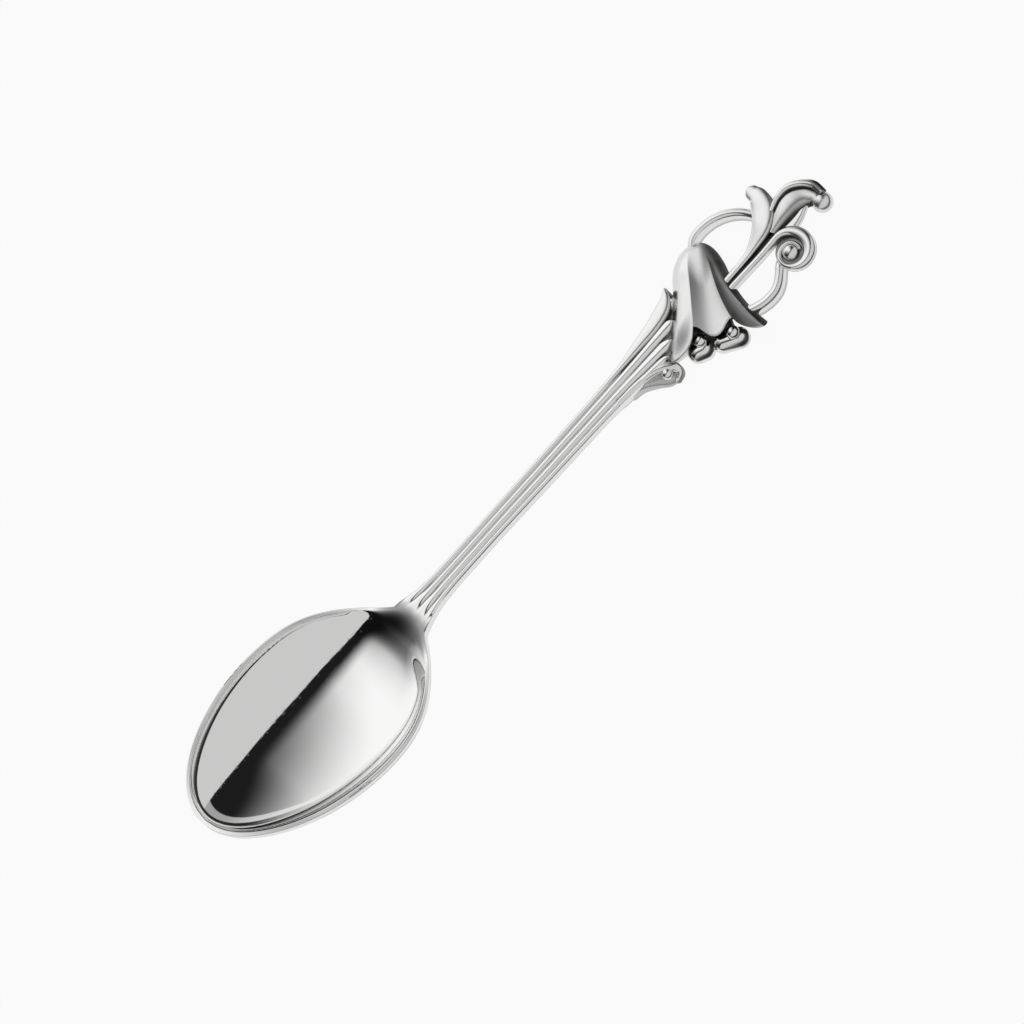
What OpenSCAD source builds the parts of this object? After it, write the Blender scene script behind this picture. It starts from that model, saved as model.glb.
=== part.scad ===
// Coffee spoon, cast in one piece: an oval bowl, a handle with four reeds and an
// open finial with a bell flower, berries, a ring of stem and curling leaves.
// X runs from the tip of the bowl to the finial, Y to the left and Z up.
// The spoon lies on its back, so Z = 0 is the table under the bowl and the finial.

/* [Lengths] */
// Length of the bowl from its tip to the neck
bowl_length = 39.1; // [32:0.1:46]
// Length of the handle from the neck to the middle of the ring
handle_length = 65.1; // [50:0.1:85]
// Reach of the finial from the middle of the ring to its end
finial_reach = 15.8; // [15:0.1:18]

/* [Bowl] */
// Width of the bowl over its rim
bowl_width = 25.7; // [20:0.1:32]
// Depth of the hollow below the rim
bowl_depth = 5; // [4:0.1:7]
// Wall of the bowl at its deepest place
bowl_wall = 0.9; // [0.6:0.05:1.6]
// Width of the flat rim
rim_width = 0.65; // [0.4:0.05:1]
// Height of the upright edge of the rim
rim_edge = 1.1; // [0.6:0.05:1.4]
// How much fuller the outline is on the neck's side of its middle
bowl_egg = 0.098; // [0:0.002:0.14]
// How much the outline draws in where it comes to the neck
bowl_taper = 0.255; // [0:0.005:0.4]
// Steepness of the wall below the rim, from a round dish up to an upright wall
wall_shape = 0.62; // [0.5:0.01:1]
// How much more gently the floor of the hollow rises to the neck than to the tip
neck_slope = 0.48; // [0:0.02:0.8]
// Height of the rim's tip above the neck
tip_rise = 6.36; // [3:0.02:9]
// How far the rim dips below the neck just before it
neck_dip = 0.87; // [0:0.01:2]

/* [Handle] */
// Narrowest width of the handle
handle_width = 3.42; // [3:0.02:4.5]
// Thickness of the handle
handle_thickness = 2; // [1.5:0.1:3]
// Extra width where the handle runs into the bowl
neck_width = 4; // [2:0.1:5]
// Depth of the furrows between the reeds
furrow_depth = 0.38; // [0.2:0.01:0.6]
// Place of the outer furrows, as a share of the half width
furrow_place = 0.56; // [0.5:0.01:0.62]
// Extra width of the handle where it spreads into the finial
flare_width = 3.2; // [1:0.1:4]

/* [Finial] */
// Thickness of the finial where the handle runs into it
finial_thickness = 3; // [2.4:0.1:4]
// Radius of the ring of stem, to the middle of the stem
ring_radius = 7.05; // [6:0.05:8]
// Width of the ring's stem
ring_width = 1.2; // [1:0.05:1.8]
// Height of the ring's stem above the table
ring_height = 2.6; // [2:0.1:3.2]
// Length of the bell from its crown to the tip of its longest petal
bell_length = 16; // [14:0.1:18]
// Width of the bell across its mouth
bell_width = 14.4; // [12:0.1:16]
// Height of the bell's back above the table
bell_height = 5.4; // [4.5:0.1:6.5]
// Direction of the bell's mouth, as an angle from X
bell_angle = 235; // [230:1:240]
// Radius of the small berries
berry_radius = 0.95; // [0.7:0.05:1.1]
// Radius of the large buds under the berries
bud_radius = 1.55; // [1.3:0.05:1.8]
// Height of the leaves
leaf_height = 3.4; // [2.8:0.1:4]
// Height of the scrolls
scroll_height = 3.1; // [2.6:0.1:3.6]
// Radius of the large volute, to the middle of its band
volute_radius = 2.75; // [2.4:0.05:3]
// Radius of the ball in the large volute
volute_ball = 1; // [0.7:0.05:1.2]
// Radius of the ball in the small scroll beside the handle
scroll_ball = 0.7; // [0.5:0.05:0.9]

/* [Hidden] */
total_length = bowl_length + handle_length + finial_reach;
tip_x = -total_length / 2;
neck_x = tip_x + bowl_length;
ring_x = neck_x + handle_length;
bowl_mid = tip_x + bowl_length / 2;
// The loft of bowl and handle ends under the bell
loft_end = ring_x - 9;
flare_x = ring_x - 28;
hollow_end = neck_x - 0.6;
bell_crown = [ring_x - 2.8, 4.4];
crown_radius = 2.6;
// The handle grows this much wider for each millimetre that it comes nearer to the finial
handle_spread = 0.011;
// Length over which the neck's extra width fades
neck_softness = 1.74;
// The finial is made deeper than it is and then cut level with the table
spare = 0.4;
// Height of the raised backs of leaves and scrolls above the table
raised = 1.5;
// The two ridges between the bell's petals, as shares of its half width
left_ridge = 0.31;
right_ridge = -0.5;

// Number in [0, 1] that rises smoothly as x goes from a to b
function ease(x, a, b) = let (t = min(max((x - a) / (b - a), 0), 1)) t * t * (3 - 2 * t);
function mix(a, b, t) = a + (b - a) * t;

// Smooth curve through stations [x, value], level at each end
function slope_at(s, i) =
    i == 0 || i == len(s) - 1 ? 0 : (s[i + 1][1] - s[i - 1][1]) / (s[i + 1][0] - s[i - 1][0]);
function along(s, x, i = 0) =
    x <= s[0][0] ? s[0][1] :
    i >= len(s) - 1 ? s[len(s) - 1][1] :
    x > s[i + 1][0] ? along(s, x, i + 1) :
    let (h = s[i + 1][0] - s[i][0], t = (x - s[i][0]) / h)
    s[i][1] * (1 + 2 * t) * (1 - t) ^ 2 + slope_at(s, i) * h * t * (1 - t) ^ 2
    + s[i + 1][1] * t * t * (3 - 2 * t) + slope_at(s, i + 1) * h * t * t * (t - 1);

// Smooth path through points in the plane or with more values, as steps per span
function path_point(p, i, t) =
    let (a = p[max(i - 1, 0)], b = p[i], c = p[i + 1], d = p[min(i + 2, len(p) - 1)])
    0.5 * (2 * b + (c - a) * t + (2 * a - 5 * b + 4 * c - d) * t ^ 2
    + (3 * b - a - 3 * c + d) * t ^ 3);
function smooth_path(p, steps) =
    [for (i = [0:len(p) - 2], k = [0:steps - 1]) path_point(p, i, k / steps), p[len(p) - 1]];

// Closed solid through rings of points, each ring with the same number of points
module skin(rings, start_cap, end_cap) {
    n = len(rings[0]);
    m = len(rings);
    points = [for (ring = rings) each ring, start_cap, end_cap];
    sides = [for (i = [0:m - 2], j = [0:n - 1]) let (k = (j + 1) % n) each [
        [i * n + j, (i + 1) * n + j, (i + 1) * n + k],
        [i * n + j, (i + 1) * n + k, i * n + k]]];
    caps = [for (j = [0:n - 1]) let (k = (j + 1) % n) each [
        [j, k, m * n], [(m - 1) * n + k, (m - 1) * n + j, m * n + 1]]];
    polyhedron(points, concat(sides, caps));
}

function middle(ring) = [for (k = [0:2]) let (v = [for (p = ring) p[k]]) (max(v) + min(v)) / 2];

// Outline: the handle runs on under the bowl's oval, and both flow together at the neck
function oval(x) = let (k = outer_k(x)) 1 - k * k;
function handle_half(x) =
    handle_width / 2 + handle_spread * max(x - neck_x - 16, 0)
    + neck_width / 2 / (1 + exp((x - neck_x - 1) / neck_softness))
    + flare_width / 2 * max((x - flare_x) / (loft_end - flare_x), 0) ^ 2;
oval_half = sqrt((bowl_width / 2) ^ 2 - handle_half(bowl_mid) ^ 2);
function bowl_half(x) =
    let (k = outer_k(x))
    oval_half * oval(x) ^ (0.5 + bowl_taper * ease(k, 0.18, 1)) * (1 + bowl_egg * k);
function half_width(x) =
    let (a = bowl_half(x), b = handle_half(x) * (x < bowl_mid ? sqrt(oval(x)) : 1))
    sqrt(a * a + b * b);

// Side view: rim and upper side of the handle, from the height of the neck
rim_stations = [[tip_x - 2, tip_rise + 0.15], [tip_x + 0.31 * bowl_length, 0.66 * tip_rise],
    [tip_x + 0.66 * bowl_length, 0.21 * tip_rise], [tip_x + 0.93 * bowl_length, -neck_dip],
    [neck_x + 1.6, 0], [neck_x + 14, 0.15], [neck_x + 30, 0]];
function rim_rise(x) = along(rim_stations, x);

// Depth of a dish as a share of its full depth: r is 0 in the middle and 1 at the rim
function dish(r, q) = max(1 - r * r, 0) ^ q;
function radius_in(k, s) = sqrt(k * k + (1 - k * k) * s * s);
function hollow_k(x) = min(max(x < bowl_mid
    ? (x - bowl_mid) / (bowl_length / 2 - rim_width)
    : (x - bowl_mid) / (hollow_end - bowl_mid), -1), 1);
// The floor of the hollow rises to the neck more gently than to the tip, and the steep
// wall beside it fades out there
function hollow_drop(x, s) =
    let (k = hollow_k(x), floor_shape = wall_shape + neck_slope * ease(k, 0, 0.7))
    bowl_depth * dish(k, floor_shape) * dish(s, wall_shape + ease(k, 0.7, 1));
function outer_k(x) = min(max((x - bowl_mid) / (bowl_length / 2), -1), 1);
function outer_drop(x, s) =
    (bowl_depth + bowl_wall - rim_edge) * dish(radius_in(outer_k(x), s), wall_shape);

// The neck is as high as lets the bowl just touch the table
neck_z = max([for (k = [0.1:0.02:0.9]) let (x = bowl_mid + k * bowl_length / 2)
    outer_drop(x, 0) + rim_edge - rim_rise(x)]);
function top_z(x) =
    neck_z + rim_rise(x)
    - (neck_z - finial_thickness) * max((x - neck_x) / (ring_x - neck_x), 0) ^ 2.7;
// Underside: the thickness of the handle grows until the back lies on the table
function flat_back(x) = ease(x, flare_x, ring_x - 9);
function thickness(x) = mix(handle_thickness, top_z(x) + spare, flat_back(x));
function back_z(x) = top_z(x) - thickness(x);

// The loft's section has columns from the left edge over the top to the right edge
columns = 16;
under_columns = 10;
// Reeds: share of the furrow's depth at s, which is 1 at the left and -1 at the right edge
function reed_dip(s) =
    let (a = abs(s), f = furrow_place,
        t = a > f ? (a - f) / (1 - f) * 2 - 1 : a / f * 2 - 1)
    t * t;
// Each reed ends round before the bell and drops to the plate below it
function reed_end(s) =
    ring_x - (s > furrow_place ? 9 : s > 0 ? 11.6 : s > -furrow_place ? 13.7 : 15.6)
    - 1.3 * (1 - sqrt(1 - min(reed_dip(s), 0.96)));
function top_point(x, j) =
    let (c = 1 - 2 * j / columns,
        w = half_width(x),
        rim_s = max(1 - rim_width / w, 0.35),
        f = ease(x, neck_x, neck_x + 3.4),
        inner = min(abs(c) / 0.875, 1),
        s_in = sin(90 * inner),
        bowl_s = sign(c) * (abs(c) > 0.9 ? 1 : rim_s * s_in),
        steps = abs(c) * 8,
        handle_s = sign(c) * (steps > 4 ? mix(furrow_place, 1, (steps - 4) / 4)
            : furrow_place * steps / 4),
        s = mix(bowl_s, handle_s, f),
        drop = abs(c) > 0.9 ? 0 : hollow_drop(x, s_in),
        reeds = furrow_depth * f * reed_dip(handle_s),
        ended = 0.8 * ease(x, reed_end(handle_s) - 0.3, reed_end(handle_s) + 0.5))
    [x, w * s, top_z(x) - drop - max(reeds, ended)];
function under_point(x, i) =
    let (s = sin(mix(-90, 90, i / under_columns)),
        w = half_width(x),
        f = ease(x, neck_x - 6, neck_x + 1),
        t = thickness(x),
        flank = mix(rim_edge, t * mix(0.9, 1, flat_back(x)), f),
        belly = f * (t - flank) * (1 - s ^ 4) ^ 0.6)
    [x, w * s * mix(1, 0.95, f * (1 - flat_back(x))), top_z(x) - flank - belly - outer_drop(x, s)];
function loft_ring(x) = concat(
    [for (j = [0:columns]) top_point(x, j)],
    [for (i = [0:under_columns]) under_point(x, i)]);
loft_stations = concat(
    [for (a = [3:6:33]) bowl_mid - bowl_length / 2 * cos(a)],
    [for (a = [41:9:140]) bowl_mid - bowl_length / 2 * cos(a)],
    [for (d = [-4:0.7:4.4]) neck_x + d],
    [for (d = [6:3.5:handle_length - 22]) neck_x + d],
    [for (d = [20:-1:9]) ring_x - d]);

module bowl_and_handle() {
    rings = [for (x = loft_stations) loft_ring(x)];
    skin(rings, middle(rings[0]), middle(rings[len(rings) - 1]));
}

// Bell flower: a is the distance from the crown's middle along the bell, and s goes
// across it, from 1 at the left edge to -1 at the right edge, which flares out later
function bell_half(a, s) =
    let (t = (a + crown_radius) / bell_length, r = 1 - min(t / 0.3, 1), crown = sqrt(1 - r * r))
    bell_width * (s > 0 ? 0.281 * crown + 0.25 * t * t : 0.215 * crown + 0.474 * t ^ 2.5);
// Place across one petal, from 0 at its first edge to 1 at its second
function across(s) =
    s > left_ridge ? (s - left_ridge) / (1 - left_ridge) :
    s > right_ridge ? (left_ridge - s) / (left_ridge - right_ridge) :
    (right_ridge - s) / (1 + right_ridge);
// Petals reach past the ends of the ridges: the left one furthest, the middle one to a
// point and the right one round
function petal_edge(s) =
    let (reach = s > left_ridge ? 3 : s > right_ridge ? 1.95 : 2,
        turn = s > left_ridge ? 130 : s > right_ridge ? 180 : 172,
        shape = s > left_ridge ? 0.8 : s > right_ridge ? 2 : 0.5)
    ridge_end + reach * max(sin(turn * across(s)), 0) ^ shape;
// The petals sink between their ridges, the middle one deepest and near its left ridge
function petal_hollow(s) =
    s > left_ridge ? side_hollow * sin(180 * across(s)) :
    s > right_ridge ? middle_hollow * sin(180 * across(s) ^ 0.75) :
    0;
function bell_point(a, s, z) =
    let (b = s * bell_half(a, s))
    [bell_crown[0] + a * cos(bell_angle) + b * sin(bell_angle),
     bell_crown[1] + a * sin(bell_angle) - b * cos(bell_angle), z];
// Height of the bell's lower edge above the table
petal_rim = 1.3;
// Distance along the bell at which its ridges end
ridge_end = bell_length - crown_radius - 3.4;
// How flat the bell's back is across before its sides turn down
bell_fullness = 3.2;
middle_hollow = 0.75;
side_hollow = 0.2;
// The inside of the mouth lies this far behind the petals' ends
mouth_set_back = 4.6;
bell_columns = 20;
bell_rows = 14;
function bell_top(t, s) =
    let (a = mix(-crown_radius, petal_edge(s), t),
        r = 1 - min((a + crown_radius) / bell_length / 0.3, 1),
        rise = sqrt(1 - r * r),
        dome = max(1 - abs(s) ^ bell_fullness, 0) ^ 0.6)
    bell_point(a, s, petal_rim + (bell_height - petal_rim) * rise * dome
        - petal_hollow(s) * ease(t, 0.1, 0.6));
function bell_bottom(t, s) =
    bell_point(mix(-crown_radius, bell_length - crown_radius - mouth_set_back, t), s, -0.9 * spare);
function bell_ring(t) = concat(
    [for (j = [0:bell_columns]) bell_top(t, -cos(180 * j / bell_columns))],
    [for (s = [0.9:-0.3:-0.9]) bell_bottom(t, s)]);

module bell() {
    rings = [for (i = [0:bell_rows]) bell_ring(mix(0.012, 1, (i / bell_rows) ^ 1.4))];
    skin(rings, middle(rings[0]),
        bell_point(bell_length - crown_radius - mouth_set_back - 0.6, 0, bell_height / 2));
}

// A stud is one step of a leaf or scroll: a round post with a domed top
module stud(p, foot) {
    radius = p[2];
    top = p[3];
    translate([p[0], p[1], foot]) {
        cylinder(r = radius, h = top - foot - 0.35 * radius, $fn = 14);
        cylinder(r = 0.62 * radius, h = top - foot, $fn = 14);
    }
}

// Leaf or scroll: studs [x, y, radius, top] joined one after another, with its back
// at a height above the table or on the back of the handle
module scrollwork(studs, back) {
    for (i = [0:len(studs) - 2]) {
        hull() {
            stud(studs[i], max(back_z(studs[i][0]), back) + 0.1);
            stud(studs[i + 1], max(back_z(studs[i + 1][0]), back) + 0.1);
        }
    }
}

function from_ring(points) = [for (p = points) [ring_x + p[0], p[1], p[2], p[3]]];

// Plain leaf that the left edge of the handle spreads into
module side_leaf() {
    z = leaf_height + 0.5;
    scrollwork(smooth_path(from_ring([[-20.8, 1.9, 0.25, z + 0.2], [-17.4, 2.2, 0.58, z + 0.2],
        [-14, 2.5, 0.75, z], [-11.3, 3.05, 0.85, z], [-9.8, 3.85, 0.62, z - 0.1],
        [-9, 4.7, 0.25, z - 0.3]]), 2), -spare);
}

// Right edge of the handle, which curls round a ball
module side_scroll() {
    z = scroll_height + 0.6;
    centre = [-17.1, -3.75];
    scrollwork(smooth_path(from_ring([[-24.2, -1.55, 0.3, z + 0.6], [-21.2, -1.72, 0.42, z + 0.4],
        [-18.7, -2.1, 0.5, z + 0.2], [-16.8, -2.75, 0.55, z], [-15.5, -3.6, 0.6, z - 0.2],
        [-15.7, -4.45, 0.5, z - 0.7], [-16.6, -4.85, 0.4, z - 1.1]]), 2), raised);
    translate([ring_x + centre[0], centre[1], raised + 0.15]) {
        cylinder(r = 1.2, h = z - 1.4 - raised, $fn = 20);
    }
    translate([ring_x + centre[0], centre[1], z - scroll_ball]) {
        sphere(r = scroll_ball, $fn = 16);
    }
}

// Two buds with a berry on each, held under the bell and joined by their calyx
module berries() {
    for (spot = [[-11.8, -4.75, 0.4, 0.2, 0.6], [-8, -6.9, 0.95, 0.65, 0.05]]) {
        x = ring_x + spot[0];
        y = spot[1];
        hull() {
            translate([x - spot[2], y + spot[3], 1.9]) sphere(r = bud_radius, $fn = 20);
            translate([x + spot[2], y - spot[3], 1.9]) sphere(r = bud_radius, $fn = 20);
        }
        hull() {
            translate([x, y, 1.6]) sphere(r = 1.1, $fn = 12);
            translate([x + 1.5, y + 3.1, 2]) sphere(r = 1.5, $fn = 12);
        }
        translate([x + 0.85, y + spot[4], 3.4]) sphere(r = berry_radius, $fn = 18);
    }
    scrollwork(from_ring([[-10.9, -4.3, 1, 1.9], [-8.4, -5, 1, 1.9]]), -spare);
}

// Ring of stem that grows from the crown, slender at first, and ends under the bell's
// right petal
ring_start = 118;
ring_end = -120;
// The ring bulges a little on its far left
ring_swell = 0.2;
function ring_section(t) =
    let (a = mix(ring_start, ring_end, t),
        w = ring_width / 2 * mix(0.82, 1.18, t),
        r = ring_radius + mix(0.2, -0.2, t) + ring_swell * max(cos(a - 40), 0) ^ 2
            - 1.2 * (max(a - 95, 0) / 20) ^ 2,
        bevel = 0.35,
        side = [[w, -0.8 * spare], [w, ring_height - bevel], [w - bevel, ring_height],
            [bevel - w, ring_height], [-w, ring_height - bevel], [-w, -0.8 * spare]])
    [for (p = side) [ring_x + (r + p[0]) * cos(a), (r + p[0]) * sin(a), p[1]]];
module ring_stem() {
    rings = [for (t = [0:1 / 44:1]) ring_section(t)];
    skin(rings, middle(rings[0]), middle(rings[len(rings) - 1]));
}

// Leaf that curls up out of the ring
module curling_leaf() {
    z = leaf_height;
    scrollwork(smooth_path(from_ring([[-2.7, -1.04, 0.45, z - 0.5], [1.6, -0.97, 0.45, z - 0.4],
        [4.3, -0.37, 0.85, z - 0.1], [6.3, 0.54, 1.3, z], [8.1, 1.88, 1.45, z],
        [9, 3.62, 1.2, z], [8.75, 5, 0.75, z - 0.2]]), 2), raised);
}

// Broad leaf at the end of the spoon with a rolled rib along its outer edge, which
// curls over into a knob
module end_leaf() {
    z = leaf_height;
    end_radius = 1.25;
    knob = [14.05, -3.5];
    scrollwork(smooth_path(from_ring([[6.8, -1.1, 0.7, z - 0.3], [9.7, -0.3, 1.5, z],
        [11.7, -0.2, 1.85, z], [13.3, -0.95, 1.65, z],
        [finial_reach - end_radius, -2.3, end_radius, z - 0.2], [14.2, -3.2, 1.1, z - 0.5]]), 2),
        raised);
    scrollwork(smooth_path(from_ring([[8.9, 0.85, 0.3, z + 0.1], [11, 1.3, 0.4, z + 0.3],
        [13.1, 0.5, 0.42, z + 0.35], [14.5, -1.15, 0.45, z + 0.3], [14.6, -2.5, 0.5, z + 0.1],
        [13.6, -3.2, 0.45, z - 0.15]]), 2), raised + 0.2);
    translate([ring_x + knob[0], knob[1], z - 1.3]) sphere(r = 1.15, $fn = 20);
    scrollwork(from_ring([[8.3, -2.45, 0.9, z - 0.9], [10.4, -2.35, 0.65, z - 0.8],
        [12.2, -1.85, 0.45, z - 0.8]]), raised + 0.15);
}

// Web in the channel between the curling leaf and the branch
module web() {
    scrollwork(from_ring([[-2.9, -1.75, 0.6, 2.1], [3, -1.8, 0.55, 2.2], [8, -1.6, 0.6, 2.4]]),
        raised + 0.05);
}

// Branch that ends in a volute round a ball
module volute() {
    z = scroll_height;
    centre = [6.3, -5.4];
    winding = [[-190, 0.52], [-90, 0.68], [-20, 1.02], [95, 1.07]];
    turn = [for (a = [95:-24:-193])
        let (t = (95 - a) / 288, r = volute_radius * along(winding, a))
        [centre[0] + r * cos(a), centre[1] + r * sin(a), mix(0.66, 0.36, t), z - 0.37 * t]];
    scrollwork(from_ring(concat([[-2.8, -2.35, 0.4, z - 0.2], [2.8, -2.55, 0.45, z - 0.1]], turn)),
        raised + 0.1);
    translate([ring_x + centre[0], centre[1], 0]) {
        translate([0.2, 0.45, raised + 0.3]) cylinder(r = 2.25, h = 0.5, $fn = 24);
        translate([0, 0, z - volute_ball * 0.9]) sphere(r = volute_ball, $fn = 20);
    }
}

module coffee_spoon() {
    color("silver") difference() {
        union() {
            bowl_and_handle();
            side_leaf();
            side_scroll();
            bell();
            berries();
            ring_stem();
            curling_leaf();
            end_leaf();
            web();
            volute();
        }
        translate([flare_x, -bowl_width / 2, -5]) cube([total_length, bowl_width, 5]);
    }
}

coffee_spoon();
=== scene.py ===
# %% [markdown]
# # A cast silver coffee spoon
#
# The spoon is one casting: an oval bowl, a handle with four reeds and an open
# finial of a bell flower, berries, a ring of stem and curling leaves. Polished
# metal shows nothing but its own curves and what stands round it, so this lesson
# spends its effort on three things: surfaces that are smooth to the last facet,
# a small studio for the metal to mirror, and the scratches, satin and patina that
# tell the eye that the metal is real and old. Much of the dark in the hollows and
# on the sides is painted shade, added to the patina.

import math

import bpy
import numpy as np
from mathutils import Matrix, Vector


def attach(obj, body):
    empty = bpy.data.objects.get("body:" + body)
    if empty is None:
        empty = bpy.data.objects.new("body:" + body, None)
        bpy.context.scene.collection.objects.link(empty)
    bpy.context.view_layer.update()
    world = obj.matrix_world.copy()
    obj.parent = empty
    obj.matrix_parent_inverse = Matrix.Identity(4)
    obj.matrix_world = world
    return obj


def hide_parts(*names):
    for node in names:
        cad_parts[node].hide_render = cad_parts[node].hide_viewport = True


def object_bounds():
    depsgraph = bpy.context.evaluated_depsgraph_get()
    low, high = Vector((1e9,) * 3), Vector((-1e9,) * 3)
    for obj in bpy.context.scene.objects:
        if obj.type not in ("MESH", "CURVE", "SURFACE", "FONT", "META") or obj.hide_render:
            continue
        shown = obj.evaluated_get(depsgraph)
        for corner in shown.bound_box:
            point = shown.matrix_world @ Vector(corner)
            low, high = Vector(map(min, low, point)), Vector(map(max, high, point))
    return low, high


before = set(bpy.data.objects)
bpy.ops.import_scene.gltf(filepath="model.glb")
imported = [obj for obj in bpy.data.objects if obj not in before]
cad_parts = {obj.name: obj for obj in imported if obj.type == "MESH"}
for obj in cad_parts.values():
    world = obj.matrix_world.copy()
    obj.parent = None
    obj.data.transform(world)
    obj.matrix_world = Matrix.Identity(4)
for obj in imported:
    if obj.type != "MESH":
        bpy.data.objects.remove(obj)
cad_lo, cad_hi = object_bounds()
MM = 0.001
print("frame in mm:", [round(v / MM, 2) for v in (*cad_lo, *cad_hi)])

# %% [markdown]
# ## The spoon's measures
#
# All shapes below are worked out in millimetres, in the frame of the model: X runs
# from the tip of the bowl to the finial, Y to the left and Z up, and the table is
# at Z = 0. The ends of the spoon come from the frame. The other measures are those
# of the solid, so that each surface lies where the solid does. Only at the neck does
# the hollow run out more gently and a little further than in the solid.

# %% Measures
TIP_X = round(cad_lo.x / MM, 1)
END_X = round(cad_hi.x / MM, 1)
BOWL_LENGTH = 39.1
FINIAL_REACH = 15.8
BOWL_WIDTH = 25.7
BOWL_DEPTH = 5.0
BOWL_WALL = 0.9
RIM_WIDTH = 0.65
RIM_EDGE = 1.1
WALL_SHAPE = 0.62
NECK_SLOPE = 0.52
NECK_RUNOUT = 0.95
WALL_FADE = 1.6
HANDLE_THICKNESS = 2.0
FURROW_DEPTH = 0.38
FURROW_PLACE = 0.56
FINIAL_THICKNESS = 3.0
NECK_X = TIP_X + BOWL_LENGTH
RING_X = END_X - FINIAL_REACH
BOWL_MID = TIP_X + BOWL_LENGTH / 2
HOLLOW_END = NECK_X + 1.4
FLARE_X = RING_X - 28
LOFT_END = RING_X - 9
print(f"neck at {NECK_X:.1f} mm, ring at {RING_X:.1f} mm")

# %% [markdown]
# ## Small tools for curves
#
# Each shape is a function of two numbers. These helpers give the soft steps and
# the smooth runs through a few stations that the outlines are made of. They take
# whole arrays, so a surface of a hundred thousand points is a few lines of sums.


# %% Curve tools
def ease(x, a, b):
    """0 at a, 1 at b, and between them the smooth step t * t * (3 - 2 * t)."""
    t = np.clip((x - a) / (b - a), 0, 1)
    return t * t * (3 - 2 * t)


def mix(a, b, t):
    """a where t is 0, b where t is 1."""
    return a + (b - a) * t


def along(stations, x):
    """Hermite curve through stations (x, value), level at both ends; the slope at
    each inner station is that of the line between its two neighbours."""
    at, value = np.array(stations, float).T
    slope = np.zeros(len(at))
    slope[1:-1] = (value[2:] - value[:-2]) / (at[2:] - at[:-2])
    x = np.clip(x, at[0], at[-1])
    i = np.clip(np.searchsorted(at, x, side="right") - 1, 0, len(at) - 2)
    h = at[i + 1] - at[i]
    t = (x - at[i]) / h
    near = value[i] * (1 + 2 * t) + slope[i] * h * t
    far = value[i + 1] * (3 - 2 * t) + slope[i + 1] * h * (t - 1)
    return near * (1 - t) ** 2 + far * t * t


def smooth_path(points, count):
    """Points on the Catmull-Rom curve through the given ones, evenly spread along
    its length. Each point may carry more values, such as a width and a height."""
    p = np.array(points, float)
    p = np.vstack([2 * p[0] - p[1], p, 2 * p[-1] - p[-2]])
    t = np.linspace(0, len(points) - 1, 40 * len(points))
    i = np.minimum(t.astype(int), len(points) - 2)
    t = (t - i)[:, None]
    a, b, c, d = p[i], p[i + 1], p[i + 2], p[i + 3]
    curve = 0.5 * (2 * b + (c - a) * t + (2 * a - 5 * b + 4 * c - d) * t**2
                   + (3 * b - a - 3 * c + d) * t**3)
    step = np.linalg.norm(np.diff(curve[:, :2], axis=0), axis=1)
    run = np.concatenate([[0], np.cumsum(step)])
    even = np.linspace(0, run[-1], count)
    return np.stack([np.interp(even, run, column) for column in curve.T], 1)


print("a quarter of the way along a smooth step:", float(ease(0.25, 0, 1)))

# %% [markdown]
# ## From rings of points to a mesh
#
# Every form of the spoon is a stack of rings, each a closed loop with the same
# number of points. A point has four numbers: its place and its darkness, from 0 for
# bright metal to 1 for black. The darkness is partly patina and partly painted
# shade: dark put in hollows, under overhangs and on sides that face the dark.
# The stack becomes a grid of quads with a fan at each end, made with index sums,
# and the mesh takes all forms of a piece in one go with `from_pydata`.


# %% Mesh tools
def tube_faces(rings, columns):
    """Quads between neighbouring rings, and one fan at each end of the grid. Point
    j of ring i has number i * columns + j; the two end points come last."""
    i, j = np.meshgrid(np.arange(rings - 1), np.arange(columns), indexing="ij")
    k = (j + 1) % columns
    quads = np.stack([i * columns + j, (i + 1) * columns + j,
                      (i + 1) * columns + k, i * columns + k], -1).reshape(-1, 4)
    j = np.arange(columns)
    k = (j + 1) % columns
    last = (rings - 1) * columns
    first_fan = np.stack([j, k, np.full(columns, rings * columns)], 1)
    last_fan = np.stack([last + k, last + j, np.full(columns, rings * columns + 1)], 1)
    return quads, np.concatenate([first_fan, last_fan])


def signed_volume(points, quads, fans):
    """Sum of the tetrahedra from the origin to each triangle: above 0 where the
    faces point outwards."""
    triangles = np.concatenate([quads[:, [0, 1, 2]], quads[:, [0, 2, 3]], fans])
    a, b, c = (points[triangles[:, k], :3] for k in range(3))
    return np.einsum("ij,ij->i", a, np.cross(b, c)).sum() / 6


def cast_mesh(name, forms, finish_of=lambda key: 0):
    """One object of all the forms, each a stack of rings or a stack and its two end
    points. finish_of gives the number of a form's material from its name."""
    points, quads, fans, finish = [], [], [], []
    offset = 0
    for key, form in forms.items():
        rings, start, end = form if isinstance(form, tuple) else (form, None, None)
        start = rings[0].mean(0) if start is None else start
        end = rings[-1].mean(0) if end is None else end
        own = np.vstack([rings.reshape(-1, 4), start, end])
        q, f = tube_faces(*rings.shape[:2])
        if signed_volume(own, q, f) < 0:
            q, f = q[:, ::-1], f[:, ::-1]
        points.append(own)
        quads.append(q + offset)
        fans.append(f + offset)
        finish.append((len(q), len(f), finish_of(key)))
        offset += len(own)
    points = np.vstack(points)
    mesh = bpy.data.meshes.new(name)
    faces = [*np.concatenate(quads).tolist(), *np.concatenate(fans).tolist()]
    mesh.from_pydata(points[:, :3] * MM, [], faces)
    index = np.concatenate([np.full(q, s) for q, f, s in finish]
                           + [np.full(f, s) for q, f, s in finish])
    mesh.polygons.foreach_set("material_index", index.astype(np.int32))
    # The attribute holds painted shade and patina, from 0 to 1.
    dark = mesh.attributes.new("shade_and_patina", "FLOAT", "POINT")
    dark.data.foreach_set("value", np.clip(points[:, 3], 0, 1).astype(np.float32))
    mesh.shade_smooth()
    piece = bpy.data.objects.new(name, mesh)
    bpy.context.scene.collection.objects.link(piece)
    print(name, "has", 2 * sum(map(len, quads)) + sum(map(len, fans)), "triangles")
    return piece


print("a grid of 3 rings of 4 points has", *map(len, tube_faces(3, 4)), "quads and end triangles")

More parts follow.
